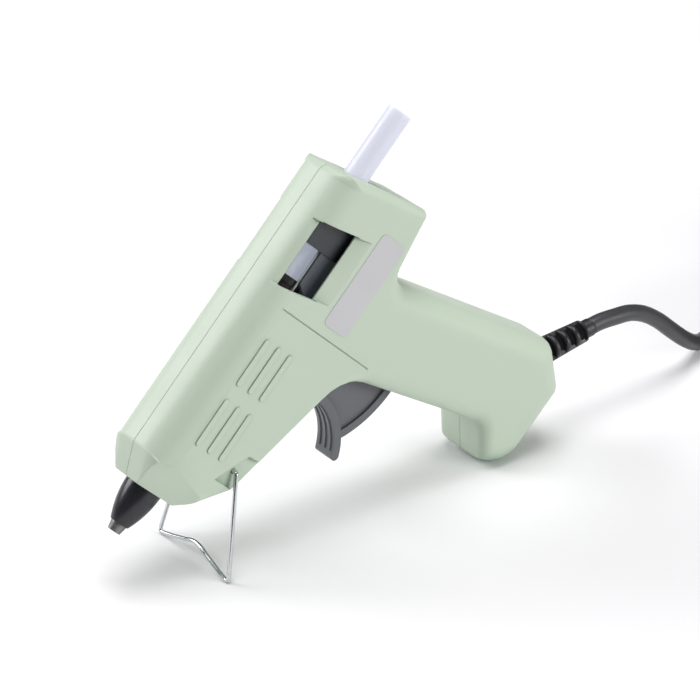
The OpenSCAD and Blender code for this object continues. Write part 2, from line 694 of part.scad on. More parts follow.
lead_wire_d = 1.8;
crimp_z = [-76, -67];
// The two cores of the lead, up the grip and along the barrel to the heater
module heater_leads() for (k = [-1, 1]) color(k > 0 ? "royalblue" : "saddlebrown")
    tube(spline([
        [82.2, k * 1.3, -91.1], [79.6, k * 3, -88], [76.2, k * 5.4, -82.6], [75, k * 6.8, -79],
        [75, k * 6.8, -76], [75, k * 6.8, -67], [75, k * 6.8, -64], [74, k * 7, -57], [72, k * 7.4, -48], [67.6, k * 7.6, -38],
        [60, k * 7.6, -30.4], [51, k * 7.6, -24.6], [45.4, k * 6.4, -19.4], [42, k * 3.8, -14],
        [40.2, k * 2.4, -9.8], [38.1, k * 2, -8.5]
    ], 2), lead_wire_d / 2, 6, [1, 0.2, 0]);
module crimp_sleeves() color("whitesmoke") for (k = [-1, 1]) translate([75, k * 6.8, crimp_z[0]]) difference() {
    cylinder(d = 3.4, h = crimp_z[1] - crimp_z[0]);
    translate([0, 0, -1]) cylinder(d = lead_wire_d + 0.1, h = 20);
}

// ---------------------------------------------------------------- the lead on the floor
cord_start = concat([for (d = [-12, -4, 6, 14]) relief_root + relief_dir * d], [relief_end, relief_end + relief_dir * 4]);
// The route from the strain relief to the hank, chosen by hand, in the floor's axes
cord_route = [
    [92, 0, 28.2], [98, 0.2, 27.6], [104, 0.6, 25.2], [110, 1.2, 21], [116, 2, 15.6],
    [122, 3, 10.4], [128, 5, 6.2], [134, 7.8, 3.6], [141, 11.6, 2.6], [147, 14.7, 2.5], [153, 17.1, 2.5],
    [159, 18, 2.5]
];
plug_route = [
    [159, 13, 21.5], [163, 12.6, 21.7], [167, 11.6, 22.2], [171, 9.8, 23], [175, 7.3, 24.2],
    [179, 4.8, 25.4], [183, 2.9, 26.2], [187, 1.9, 26.7], [191, 1.5, 26.9], [199, 1.5, 26.9]
];
// The spare length, folded to and fro into a hank that lies on the floor
hank_start = [159, -3];                // middle of the folds nearest the gun
hank_run = 50;                         // from these folds to the far ones
fold_r = [16, 21];                     // inner and outer turns
hank_layers = [4, 3];                  // turns one on another, inside and outside
tie_width = 10;
tie_t = 0.7;
tie_x = 185;

module power_cord() color([0.08, 0.08, 0.09]) {
    tube(spline(concat([for (p = cord_start) [stood(p)[0], 0, stood(p)[1]]], cord_route), 2), lead_d / 2, 8);
    tube(spline(plug_route, 2), lead_d / 2, 8);
}
module hank_outline(r) translate(hank_start) {
    circle(r, $fn = 72);
    translate([0, -r]) square([hank_run, 2 * r]);
    translate([hank_run, 0]) circle(r, $fn = 72);
}
module along_hank(width) translate([tie_x, hank_start[1], 0]) rotate([90, 0, -90])
    linear_extrude(width, center = true) children();
module bundle_section(grow) offset(delta = grow) polygon([
    [fold_r[0] - lead_d / 2, 0], [fold_r[1] + lead_d / 2, 0], [fold_r[1] + lead_d / 2, hank_layers[1] * lead_d],
    [fold_r[0] + lead_d / 2, hank_layers[0] * lead_d], [fold_r[0] - lead_d / 2, hank_layers[0] * lead_d]
]);
module cord_coil() color([0.08, 0.08, 0.09]) difference() {
    for (k = [0, 1]) linear_extrude(hank_layers[k] * lead_d) hank_outline(fold_r[k] + lead_d / 2);
    translate([0, 0, -1]) linear_extrude(30) hank_outline(fold_r[0] - lead_d / 2);
    // The tie's pinch
    along_hank(tie_width) difference() {
        translate([fold_r[0] - lead_d, -1]) square([40, 40]);
        bundle_section(-tie_t);
    }
}
module cord_tie() color([0.14, 0.14, 0.15]) along_hank(tie_width - 0.2) difference() {
    bundle_section(0);
    bundle_section(-tie_t + 0.02);
}

// Flat two-pin plug, lying on the hank
plug_rear = [201, 1.5, hank_layers[0] * lead_d + 0.05];
plug_t = 13.7;
pin_d = 4;
pin_length = 19;
pin_spacing = 18.6;
plug_length = 36;
module at_plug() translate(plug_rear) rotate([0, 0, -90]) children();
module plug_body() color([0.09, 0.09, 0.1]) at_plug() difference() {
    union() {
        intersection() {
            linear_extrude(plug_t) offset(r = 2) polygon([
                [-4, 2], [4, 2], [15.6, 12], [15.6, 19], [11.6, plug_length - 2], [-11.6, plug_length - 2],
                [-15.6, 19], [-15.6, 12]
            ]);
            translate([-20, 0, 0]) rotate([90, 0, 90]) linear_extrude(40) polygon([
                [0, 2.4], [12, 0], [plug_length, 0], [plug_length, plug_t], [12, plug_t], [0, plug_t - 2.4]
            ]);
        }
        translate([0, -10, plug_t / 2]) rotate([-90, 0, 0]) cylinder(d1 = lead_d + 2, d2 = 8.6, h = 12);
    }
    translate([0, -11, plug_t / 2]) rotate([-90, 0, 0]) cylinder(d = lead_d + 0.1, h = 9);
}
module plug_pins() color("gainsboro") at_plug() for (k = [-1, 1])
    translate([k * pin_spacing / 2, plug_length, plug_t / 2]) rotate([-90, 0, 0]) {
        cylinder(d = pin_d, h = pin_length - pin_d / 2);
        translate([0, 0, pin_length - pin_d / 2]) sphere(d = pin_d);
    }

// ---------------------------------------------------------------- the pieces
place() left_shell();
place() right_shell();
place() case_screws();
place() nozzle();
place() nozzle_sleeve();
place() melt_chamber();
place() ptc_heater();
place() heater_clip();
place() inlet_sleeve();
place() sleeve_clamp();
place() glue_stick();
place() carriage();
place() jaw_pin();
place() grip_jaw();
place() trigger();
place() trigger_pivot();
place() return_spring();
wire_stand();
place() strain_relief();
place() cord_clamp();
place() clamp_screws();
place() heater_leads();
place() crimp_sleeves();
power_cord();
cord_coil();
cord_tie();
plug_body();
plug_pins();
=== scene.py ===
"""A small hot-melt glue gun that stands on its fold-out wire stand, its stick in place and
its lead running off behind it."""
import json
import math

import bmesh
import bpy
from mathutils import Matrix, Vector


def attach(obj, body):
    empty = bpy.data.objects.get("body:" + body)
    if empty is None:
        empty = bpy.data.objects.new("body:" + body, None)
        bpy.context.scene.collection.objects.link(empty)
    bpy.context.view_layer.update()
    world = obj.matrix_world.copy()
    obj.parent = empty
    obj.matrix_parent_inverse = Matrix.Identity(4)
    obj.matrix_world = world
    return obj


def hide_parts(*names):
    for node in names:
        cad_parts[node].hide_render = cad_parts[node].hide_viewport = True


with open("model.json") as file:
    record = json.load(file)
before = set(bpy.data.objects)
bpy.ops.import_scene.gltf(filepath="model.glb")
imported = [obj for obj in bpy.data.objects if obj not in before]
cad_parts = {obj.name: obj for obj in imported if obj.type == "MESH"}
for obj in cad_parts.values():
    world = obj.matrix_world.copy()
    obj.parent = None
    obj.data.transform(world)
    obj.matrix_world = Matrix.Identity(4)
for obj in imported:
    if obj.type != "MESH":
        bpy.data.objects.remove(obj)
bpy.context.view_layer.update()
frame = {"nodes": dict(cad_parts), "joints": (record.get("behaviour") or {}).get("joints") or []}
nodes = frame["nodes"]
MM = 0.001


# ---------------------------------------------------------------- camera and the gun's own axes
# The gun leans nose down. Its own axes run back along the stick (x), across (y) and up (z),
# with their origin where the stick's line meets the nose. The trigger's pivot ties them to the frame.
TILT = math.radians(45.7)
PIVOT = Vector((60, 0, -20)) * MM
LEAN = Matrix.Rotation(-TILT, 4, "Y")
joints = {joint["name"]: joint for joint in frame["joints"]}
nose_place = Vector(joints["trigger_hinge"]["pos_m"]) - LEAN @ PIVOT
NOSE = Vector([round(part, 6) for part in nose_place])  # the frame gives places to a micrometre
STANCE = Matrix.Translation(NOSE) @ LEAN


def at_gun(x, y, z):
    """A place in the gun's own axes, in mm, as a place on the floor frame in metres."""
    return STANCE @ (Vector((x, y, z)) * MM)


# The camera stands a metre back from the nose, and the nose lies left of and below its middle.
CAMERA_AZIMUTH = math.radians(36.2)
CAMERA_ELEVATION = math.radians(28.5)
FROM_NOSE = Vector((55.33, 36.67, 1000)) * MM
camera_data = bpy.data.cameras.new("camera")
camera_data.sensor_width = 36
camera_data.lens = 191.6
camera_data.clip_start = 0.05
camera_data.clip_end = 30
camera = bpy.data.objects.new("camera", camera_data)
bpy.context.collection.objects.link(camera)
heading = Matrix.Rotation(-CAMERA_AZIMUTH, 4, "Z") @ Matrix.Rotation(math.pi / 2 - CAMERA_ELEVATION, 4, "X")
camera.matrix_world = Matrix.Translation(NOSE) @ heading @ Matrix.Translation(FROM_NOSE)
bpy.context.scene.camera = camera

# ---------------------------------------------------------------- light, floor and backdrop
# A wide sheet of white paper lies under the gun and fills what is seen behind it. Three large
# soft lamps light it from above, from behind and, weaker, from the front.
COOL = (0.99, 0.978, 1.005)
FLOOR_HALF = 6


def soft_lamp(name, place, aim, size, power, colour=(1, 1, 1)):
    """A square area lamp at a place, turned towards its aim."""
    data = bpy.data.lights.new(name, "AREA")
    data.shape = "SQUARE"
    data.size = size
    data.energy = power
    data.color = colour
    lamp = bpy.data.objects.new(name, data)
    lamp.location = place
    lamp.rotation_euler = (Vector(aim) - Vector(place)).to_track_quat("-Z", "Y").to_euler()
    bpy.context.collection.objects.link(lamp)


soft_lamp("overhead light", place=(0.05, 0.05, 1.3), aim=(0, 0, 0.05), size=0.8, power=12.8, colour=COOL)
soft_lamp("back light", place=(-0.83, 1.1, 0.83), aim=(0, 0, 0.06), size=0.9, power=16.5, colour=COOL)
soft_lamp("front light", place=(0.75, -1.35, 0.5), aim=(0, 0, 0.06), size=0.8, power=14.5)

world = bpy.data.worlds.new("studio")
bpy.context.scene.world = world
world.use_nodes = True
background = world.node_tree.nodes["Background"]
background.inputs["Color"].default_value = (1, 1, 1, 1)
background.inputs["Strength"].default_value = 0.11
bpy.context.scene.view_settings.view_transform = "Standard"


def object_from(bm, name):
    """Puts the shape of a bmesh into the scene as an object."""
    mesh = bpy.data.meshes.new(name)
    bm.to_mesh(mesh)
    bm.free()
    obj = bpy.data.objects.new(name, mesh)
    bpy.context.collection.objects.link(obj)
    return obj


bm = bmesh.new()
bmesh.ops.create_grid(bm, x_segments=8, y_segments=8, size=FLOOR_HALF)
floor = object_from(bm, "floor")
floor_material = bpy.data.materials.new("white paper")
floor_material.use_nodes = True
paper = floor_material.node_tree.nodes["Principled BSDF"]
paper.inputs["Base Color"].default_value = (0.9, 0.9, 0.9, 1)
paper.inputs["Roughness"].default_value = 0.9
paper.inputs["Specular IOR Level"].default_value = 0
floor.data.materials.append(floor_material)

# ---------------------------------------------------------------- the body
# Two halves of pale green moulded plastic, screwed together at the seam. They have the fine matt
# texture of an eroded mould, in places a little glossier, and shade is painted into their hollows.
SLIGHT_EDGE = math.radians(16)  # the window's recess begins at an edge just sharper than this
BODY_SIDE = 11.45 * MM  # the body's flat sides lie further than this from the seam
NO_SIDE = 1.0  # further out than any piece
WELD_REACH = 2e-6  # the triangles of a CAD piece meet within this
NOISE_RANGE = (0.3, 0.7)  # most of a noise lies between these
HOLLOW_SAMPLES = 8
EDGE_SAMPLES = 4


class Finish:
    """A material under construction: its shader, and short ways to add what feeds it.

    All of it is worked out from the place on the piece, in metres, so grain and specks keep
    their real size: a broad change of tone, a fine grain in the gloss, and a fine relief."""

    def __init__(self, name, colour, roughness, metallic=0.0):
        self.material = bpy.data.materials.new(name)
        self.material.use_nodes = True
        self.nodes = self.material.node_tree.nodes
        self.links = self.material.node_tree.links
        self.shader = self.nodes["Principled BSDF"]
        self.shader.inputs["Base Color"].default_value = (*colour, 1)
        self.shader.inputs["Roughness"].default_value = roughness
        self.shader.inputs["Metallic"].default_value = metallic
        self.colour = colour
        self.roughness = roughness
        self.place = self.nodes.new("ShaderNodeTexCoord").outputs["Object"]
        self.normal = None

    def noise(self, per_metre, detail, stretch=None):
        """A noise with this many cells to the metre, drawn out along an axis if asked."""
        node = self.nodes.new("ShaderNodeTexNoise")
        node.inputs["Scale"].default_value = per_metre
        node.inputs["Detail"].default_value = detail
        if stretch:
            mapping = self.nodes.new("ShaderNodeMapping")
            mapping.inputs["Scale"].default_value = stretch
            self.links.new(self.place, mapping.inputs["Vector"])
            self.links.new(mapping.outputs["Vector"], node.inputs["Vector"])
        else:
            self.links.new(self.place, node.inputs["Vector"])
        return node.outputs["Fac"]

    def tones(self, source, other):
        """Mixes the base colour towards another by the source."""
        node = self.nodes.new("ShaderNodeMix")
        node.data_type = "RGBA"
        node.inputs["A"].default_value = (*self.colour, 1)
        node.inputs["B"].default_value = (*other, 1)
        self.links.new(source, node.inputs["Factor"])
        self.links.new(node.outputs["Result"], self.shader.inputs["Base Color"])

    def paint_hollow_shade(self, distance, other):
        """Paints shade into corners and hollows: the colour darkens where light reaches badly. It comes
        after the tones.
        """
        hollow = self.nodes.new("ShaderNodeAmbientOcclusion")
        hollow.samples = HOLLOW_SAMPLES
        hollow.inputs["Distance"].default_value = distance
        node = self.nodes.new("ShaderNodeMix")
        node.data_type = "RGBA"
        node.inputs["A"].default_value = (*other, 1)
        self.links.new(self.shader.inputs["Base Color"].links[0].from_socket, node.inputs["B"])
        self.links.new(hollow.outputs["AO"], node.inputs["Factor"])
        self.links.new(node.outputs["Result"], self.shader.inputs["Base Color"])

    def gloss(self, source, spread):
        """Lets the roughness wander by the source, this much to either side."""
        node = self.nodes.new("ShaderNodeMapRange")
        node.inputs["From Min"].default_value, node.inputs["From Max"].default_value = NOISE_RANGE
        node.inputs["To Min"].default_value = self.roughness - spread
        node.inputs["To Max"].default_value = self.roughness + spread
        self.links.new(source, node.inputs["Value"])
        self.links.new(node.outputs["Result"], self.shader.inputs["Roughness"])

    def relief(self, source, depth, strength):
        """A raised and sunk surface, depth in metres."""
        node = self.nodes.new("ShaderNodeBump")
        node.inputs["Distance"].default_value = depth
        node.inputs["Strength"].default_value = strength
        self.links.new(source, node.inputs["Height"])
        if self.normal:
            self.links.new(self.normal, node.inputs["Normal"])
        self.normal = node.outputs["Normal"]
        self.links.new(self.normal, self.shader.inputs["Normal"])

    def soft_edges(self, radius):
        """Edges catch the light as if rounded by this radius. It comes before any relief."""
        node = self.nodes.new("ShaderNodeBevel")
        node.samples = EDGE_SAMPLES
        node.inputs["Radius"].default_value = radius
        self.normal = node.outputs["Normal"]
        self.links.new(self.normal, self.shader.inputs["Normal"])


def smoothing_group():
    """Shades a mesh smooth, except along edges sharper than its angle.

    Beyond the side distance, where the body's flat sides are, even the slight edges of the
    window's recess stay sharp."""
    group = bpy.data.node_groups.new("smooth under an angle", "GeometryNodeTree")
    group.interface.new_socket("Geometry", in_out="INPUT", socket_type="NodeSocketGeometry")
    group.interface.new_socket("Angle", in_out="INPUT", socket_type="NodeSocketFloat")
    group.interface.new_socket("Side", in_out="INPUT", socket_type="NodeSocketFloat")
    group.interface.new_socket("Geometry", in_out="OUTPUT", socket_type="NodeSocketGeometry")
    add = group.nodes.new
    link = group.links.new
    source = add("NodeGroupInput")
    result = add("NodeGroupOutput")
    faces = add("GeometryNodeSetShadeSmooth")
    edges = add("GeometryNodeSetShadeSmooth")
    edges.domain = "EDGE"
    edges.inputs["Shade Smooth"].default_value = False
    bend = add("GeometryNodeInputMeshEdgeAngle")
    sharper = add("FunctionNodeCompare")
    link(bend.outputs["Unsigned Angle"], sharper.inputs[0])
    link(source.outputs["Angle"], sharper.inputs[1])
    slight = add("FunctionNodeCompare")
    slight.inputs[1].default_value = SLIGHT_EDGE
    link(bend.outputs["Unsigned Angle"], slight.inputs[0])
    place = add("ShaderNodeSeparateXYZ")
    link(add("GeometryNodeInputPosition").outputs["Position"], place.inputs["Vector"])
    across = add("ShaderNodeMath")
    across.operation = "ABSOLUTE"
    link(place.outputs["Y"], across.inputs[0])
    beyond = add("FunctionNodeCompare")
    link(across.outputs["Value"], beyond.inputs[0])
    link(source.outputs["Side"], beyond.inputs[1])
    on_side = add("FunctionNodeBooleanMath")
    on_side.operation = "AND"
    link(slight.outputs["Result"], on_side.inputs[0])
    link(beyond.outputs["Result"], on_side.inputs[1])
    sharp = add("FunctionNodeBooleanMath")
    sharp.operation = "OR"
    link(sharper.outputs["Result"], sharp.inputs[0])
    link(on_side.outputs["Boolean"], sharp.inputs[1])
    link(source.outputs["Geometry"], faces.inputs["Geometry"])
    link(faces.outputs["Geometry"], edges.inputs["Geometry"])
    link(sharp.outputs["Boolean"], edges.inputs["Selection"])
    link(edges.outputs["Geometry"], result.inputs["Geometry"])
    return group


smooth_edges = smoothing_group()


def dress(name, finish, angle=26, side=NO_SIDE):
    """Gives a CAD piece its finish, and smooth faces where they meet at less than the angle.

    The angle is in degrees, and slight edges stay sharp beyond the side."""
    obj = nodes[name]
    mesh = obj.data
    if "custom_normal" in mesh.attributes:
        mesh.attributes.remove(mesh.attributes["custom_normal"])
    mesh.materials.clear()
    mesh.materials.append(finish.material)
    weld = obj.modifiers.new("weld", "WELD")
    weld.merge_threshold = WELD_REACH
    smooth = obj.modifiers.new("smooth", "NODES")
    smooth.node_group = smooth_edges
    sockets = smooth_edges.interface.items_tree
    smooth[sockets["Angle"].identifier] = math.radians(angle)
    smooth[sockets["Side"].identifier] = side
    weighted = obj.modifiers.new("weighted normals", "WEIGHTED_NORMAL")
    weighted.keep_sharp = True


shell = Finish("pale green moulding", (0.515, 0.60, 0.485), 0.46)
shell.soft_edges(0.0004)
shell.tones(shell.noise(35, 4), (0.495, 0.585, 0.47))
# painted shade: the green deepens in hollows and corners
shell.paint_hollow_shade(0.007, (0.3, 0.41, 0.32))
shell.gloss(shell.noise(60, 3), 0.05)
shell.relief(shell.noise(2600, 2), 0.00003, 0.35)
dress("left_shell", shell, angle=33, side=BODY_SIDE)
dress("right_shell", shell, angle=33, side=BODY_SIDE)

# ---------------------------------------------------------------- the blank sticker
# A bare sticker of pale grey foil with rounded corners, stuck flat on the near side of the body,
# under the window.
STICKER_FRONT = 63.3
STICKER_REAR = 92.7
STICKER_LOW = -19.7
STICKER_TOP = -9.7
STICKER_T = 0.12
STICKER_CORNER = 1.6
BODY_HALF = 11.5


def gun_box(name, low, high, rounding, segments=2, only_across=False):
    """A block between two corners in the gun's axes, its edges rounded.

    If only the edges across the gun are rounded, its two flat sides keep crisp rims."""
    bm = bmesh.new()
    bmesh.ops.create_cube(bm, size=1)
    edges = [edge for edge in bm.edges if not only_across or edge.verts[0].co.xz == edge.verts[1].co.xz]
    for vert in bm.verts:
        vert.co = at_gun(*(low[i] + (vert.co[i] + 0.5) * (high[i] - low[i]) for i in range(3)))
    bmesh.ops.bevel(
        bm, geom=edges, offset=rounding * MM, segments=segments, profile=0.5, affect="EDGES", material=-1
    )
    bmesh.ops.recalc_face_normals(bm, faces=bm.faces)
    return object_from(bm, name)


sticker = gun_box(
    "blank_sticker",
    (STICKER_FRONT, -BODY_HALF - STICKER_T, STICKER_LOW),
    (STICKER_REAR, -BODY_HALF, STICKER_TOP),
    STICKER_CORNER,
    segments=6,
    only_across=True,
)
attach(sticker, "body")
foil = Finish("grey sticker foil", (0.56, 0.56, 0.57), 0.34)
foil.tones(foil.noise(45, 3), (0.5, 0.5, 0.51))
foil.gloss(foil.noise(80, 3), 0.08)
foil.relief(foil.noise(500, 2), 0.00003, 0.3)
sticker.data.materials.append(foil.material)

# ---------------------------------------------------------------- the trigger
# One moulding of charcoal plastic, a little shinier than the body, with the same fine texture. It
# turns on a pin across the grip.
charcoal = Finish("charcoal moulding", (0.114, 0.12, 0.131), 0.42)
charcoal.soft_edges(0.0003)
charcoal.tones(charcoal.noise(50, 4), (0.112, 0.117, 0.128))
charcoal.gloss(charcoal.noise(90, 3), 0.06)
charcoal.relief(charcoal.noise(2400, 2), 0.00003, 0.3)
dress("trigger", charcoal)

# ---------------------------------------------------------------- nozzle and its sleeve
# The tip is dull turned metal, darkened by heat and old glue. A sleeve of glossy black rubber is
# drawn over the nozzle behind it.
rubber = Finish("black sleeve", (0.012, 0.012, 0.017), 0.26)
rubber.tones(rubber.noise(120, 4), (0.018, 0.018, 0.024))
rubber.gloss(rubber.noise(90, 2), 0.03)
rubber.relief(rubber.noise(1500, 2), 0.00001, 0.25)
dress("nozzle_sleeve", rubber, angle=30)

tip_metal = Finish("heat-stained tip", (0.28, 0.28, 0.275), 0.42, metallic=0.9)
tip_metal.soft_edges(0.0002)
tip_metal.tones(tip_metal.noise(260, 5), (0.13, 0.12, 0.11))
tip_metal.gloss(tip_metal.noise(400, 3), 0.12)
tip_metal.relief(tip_metal.noise(1800, 2), 0.00004, 0.5)
dress("nozzle", tip_metal, angle=20)

# ---------------------------------------------------------------- the glue stick
# A cast rod of milky, see-through glue: light soaks in and comes out softly, and the skin is
# slightly wavy. It is pushed in from behind and moves with the carriage.
glue = Finish("milky glue", (0.5, 0.49, 0.53), 0.34)
glue.shader.inputs["Subsurface Weight"].default_value = 0.7
glue.shader.inputs["Subsurface Radius"].default_value = (0.9, 0.95, 1)
glue.shader.inputs["Subsurface Scale"].default_value = 0.004
glue.shader.inputs["Transmission Weight"].default_value = 0.25
glue.shader.inputs["IOR"].default_value = 1.48
glue.tones(glue.noise(90, 3), (0.55, 0.545, 0.585))
# A painted glow keeps the stick bright even inside the body, where the lamps hardly reach it
glue.shader.inputs["Emission Color"].default_value = (0.78, 0.84, 1, 1)
glue.shader.inputs["Emission Strength"].default_value = 0.28
glue.gloss(glue.noise(140, 3), 0.07)
glue.relief(glue.noise(350, 2), 0.00008, 0.5)
dress("glue_stick", glue, angle=40)

# ---------------------------------------------------------------- the wire stand
# One bent piece of bright drawn wire, sprung into two holes in the body, with the faint unevenness
# that drawing leaves.
wire = Finish("bright wire", (0.7, 0.73, 0.74), 0.07, metallic=1)
wire.tones(wire.noise(260, 3), (0.5, 0.53, 0.54))
wire.gloss(wire.noise(900, 3), 0.06)
wire.relief(wire.noise(1200, 2), 0.00002, 0.3)
dress("wire_stand", wire, angle=60)

# ---------------------------------------------------------------- the lead
# One soft round cable with a dull PVC jacket: out of the strain relief, down to the floor, then
# folded to and fro in a flat hank, two turns side by side and four high, and out on its top to the plug.
LEAD_D = 5.0
RELIEF_ROOT = Vector((92, 0, -98.6))
RELIEF_WAY = Vector((0.79, 0, -0.613)).normalized()
RELIEF_LENGTH = 20
route = [
    (92, 0, 28.2), (98, 0.2, 27.6), (104, 0.6, 25.2), (110, 1.2, 21), (116, 2, 15.6),
    (122, 3, 10.4), (128, 5, 6.2), (134, 7.8, 3.6), (141, 11.6, 2.6), (147, 14.7, 2.5), (153, 17.1, 2.5),
]
plug_route = [
    (163, 12.6, 21.7), (167, 11.6, 22.2), (171, 9.8, 23), (175, 7.3, 24.2), (179, 4.8, 25.4),
    (183, 2.9, 26.2), (187, 1.9, 26.7), (191, 1.5, 26.9), (199, 1.5, 26.9),
]
HANK_START = (159, -3)
HANK_RUN = 50
INNER = 16
OUTER = 21
# Bend radius and layer where each leg begins: near run, far fold, back run and near fold, five
# times over, and then where the last fold ends. The last one already lifts towards the plug.
legs = [
    (OUTER, 0), (OUTER, 0), (OUTER, 0), (INNER, 0),
    (INNER, 0), (INNER, 0), (INNER, 1), (INNER, 1),
    (INNER, 1), (OUTER, 1), (OUTER, 1), (OUTER, 1),
    (OUTER, 2), (OUTER, 2), (OUTER, 2), (INNER, 2),
    (INNER, 2), (INNER, 2), (INNER, 3), (INNER, 3),
    (INNER, 3.8),
]
LEG_STEPS = 12
ROUTE_STEPS = 3
LEAD_SIDES = 16
FIRST_STRAIGHT = 4


def eased(t):
    """A share from 0 to 1 that starts and ends gently."""
    return t * t * (3 - 2 * t)


def hank_point(leg, t):
    """A point of the hank this share of the way along a leg, in mm."""
    (radius, layer), (next_radius, next_layer) = legs[leg:leg + 2]
    radius += (next_radius - radius) * eased(t)
    layer += (next_layer - layer) * eased(t)
    height = LEAD_D * (layer + 0.5)
    x, y = HANK_START
    kind = leg % 4
    if kind == 0:
        return x + HANK_RUN * t, y + radius, height
    if kind == 2:
        return x + HANK_RUN * (1 - t), y - radius, height
    turned = math.radians(90 - 180 * t) if kind == 1 else math.radians(-90 - 180 * t)
    middle = x + HANK_RUN if kind == 1 else x
    return middle + radius * math.cos(turned), y + radius * math.sin(turned), height


def smooth_through(points, steps):
    """Points of a smooth curve through the given ones, with this many steps between two."""
    out = []
    for i in range(len(points) - 1):
        a = points[max(i - 1, 0)]
        b = points[i]
        c = points[i + 1]
        d = points[min(i + 2, len(points) - 1)]
        for k in range(steps):
            t = k / steps
            out.append(
                0.5 * (2 * b + (c - a) * t + (2 * a - 5 * b + 4 * c - d) * t * t
                       + (3 * b - a - 3 * c + d) * t * t * t)
            )
    out.append(points[-1])
    return out


def tube(name, path, radius, sides):
    """A round tube along a path, its sides never twisting, with both ends closed."""
    bm = bmesh.new()
    rings = []
    side = Vector((0.1, 0.2, 1))
    for i, p in enumerate(path):
        t = (path[min(i + 1, len(path) - 1)] - path[max(i - 1, 0)]).normalized()
        side = (side - side.dot(t) * t).normalized()
        other = t.cross(side)
        ring = []
        for k in range(sides):
            a = 2 * math.pi * k / sides
            ring.append(bm.verts.new(p + radius * (math.cos(a) * side + math.sin(a) * other)))
        rings.append(ring)
    for low, high in zip(rings, rings[1:]):
        for k in range(sides):
            m = (k + 1) % sides
            bm.faces.new((low[k], low[m], high[m], high[k]))
    bm.faces.new(list(reversed(rings[0])))
    bm.faces.new(rings[-1])
    bm.normal_update()
    for face in bm.faces:
        face.smooth = len(face.verts) == 4
    return object_from(bm, name)


relief_end = RELIEF_ROOT + RELIEF_WAY * RELIEF_LENGTH
exit_point = at_gun(*relief_end)
along_exit = (at_gun(*(relief_end + RELIEF_WAY)) - exit_point).normalized()
start = [exit_point, exit_point + along_exit * FIRST_STRAIGHT * MM]
last_leg = len(legs) - 2
turns = [hank_point(leg, k / LEG_STEPS) for leg in range(last_leg + 1) for k in range(LEG_STEPS)]
turns.append(hank_point(last_leg, 1))
folded = [Vector(p) * MM for p in turns]
free_route = smooth_through(start + [Vector(p) * MM for p in route] + folded[:1], ROUTE_STEPS)[:-1]
to_plug = smooth_through(folded[-1:] + [Vector(p) * MM for p in plug_route], ROUTE_STEPS)[1:]
lead_path = free_route + folded + to_plug
lead = tube("lead", lead_path, LEAD_D / 2 * MM, LEAD_SIDES)
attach(lead, "body")
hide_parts("power_cord", "cord_coil")
pvc = Finish("soft PVC", (0.036, 0.037, 0.04), 0.42)
pvc.tones(pvc.noise(140, 3), (0.048, 0.049, 0.053))
pvc.gloss(pvc.noise(200, 3), 0.07)
pvc.relief(pvc.noise(900, 3), 0.00005, 0.4)
lead.data.materials.append(pvc.material)

# ---------------------------------------------------------------- the strain boot
# A stiff tapering boot of black rubber on the lead where it leaves the grip. Four deep slots leave
# thin ribs, joined by a web below and another above, and a thin lip runs on over the lead.
BOOT_ROOT = -3.0  # it begins this far inside the body
BOOT_END = 17.4
BOOT_ROOT_R = 4.15
BOOT_END_R = 3.35
BOOT_EDGE = 0.35
BOOT_SIDES = 48
LIP_END = 20.0
LIP_R = 2.7
SLOTS = 4
FIRST_SLOT = 3.9
SLOT_PITCH = 3.85
SLOT_WIDTH = 2.2
SLOT_R = 2.6
WEB_TURN = math.radians(52)
WEB_HALF = math.radians(20)
SHARP_RIM = math.radians(50)
SAME_PLACE = 0.001


def boot_radius(along):
    """Outer radius of the boot at this distance from the body."""
    return BOOT_ROOT_R + (BOOT_END_R - BOOT_ROOT_R) * max(along, 0) / BOOT_END


def boot_profile():
    """Places along the boot with its radius there, as it is away from the webs."""
    steps = [(BOOT_ROOT, BOOT_ROOT_R)]
    for slot in range(SLOTS):
        low = FIRST_SLOT + slot * SLOT_PITCH - SLOT_WIDTH / 2
        high = low + SLOT_WIDTH
        steps += [(low - BOOT_EDGE, boot_radius(low - BOOT_EDGE)), (low, boot_radius(low) - BOOT_EDGE)]
        steps += [(low, SLOT_R), (high, SLOT_R)]
        steps += [(high, boot_radius(high) - BOOT_EDGE), (high + BOOT_EDGE, boot_radius(high + BOOT_EDGE))]
    steps += [(BOOT_END - BOOT_EDGE, BOOT_END_R), (BOOT_END, BOOT_END_R - BOOT_EDGE)]
    steps += [(BOOT_END, LIP_R), (LIP_END, LIP_R), (LIP_END, LEAD_D / 2)]
    return steps


# The profile is turned about the boot's own axis, and then the webs are drawn out of the slots.
bm = bmesh.new()
profile = [bm.verts.new((radius, 0, along)) for along, radius in boot_profile()]
profile += [bm.edges.new(pair) for pair in zip(profile, profile[1:])]
bmesh.ops.spin(bm, geom=profile, axis=(0, 0, 1), angle=2 * math.pi, steps=BOOT_SIDES, use_merge=True)
bmesh.ops.holes_fill(bm, edges=[edge for edge in bm.edges if edge.is_boundary])
slots_end = FIRST_SLOT + (SLOTS - 1) * SLOT_PITCH + SLOT_WIDTH / 2 + BOOT_EDGE
for vert in bm.verts:
    turn = math.atan2(vert.co.y, vert.co.x) - WEB_TURN
    if abs(math.cos(turn)) > math.cos(WEB_HALF) and vert.co.z <= slots_end:
        vert.co.xy = vert.co.xy.normalized() * boot_radius(vert.co.z)
bmesh.ops.remove_doubles(bm, verts=bm.verts, dist=SAME_PLACE)
for face in bm.faces:
    face.smooth = True
    # faces deep in a slot take the second material, painted shade
    in_slot = all(vert.co.xy.length < SLOT_R + SAME_PLACE and vert.co.z < BOOT_END for vert in face.verts)
    face.material_index = 1 if in_slot else 0
across = Vector((0, 1, 0))
boot_axes = Matrix((across, RELIEF_WAY.cross(across), RELIEF_WAY)).transposed()
for vert in bm.verts:
    vert.co = at_gun(*(RELIEF_ROOT + boot_axes @ vert.co))
bmesh.ops.recalc_face_normals(bm, faces=bm.faces)
for edge in bm.edges:
    edge.smooth = edge.calc_face_angle(0) < SHARP_RIM
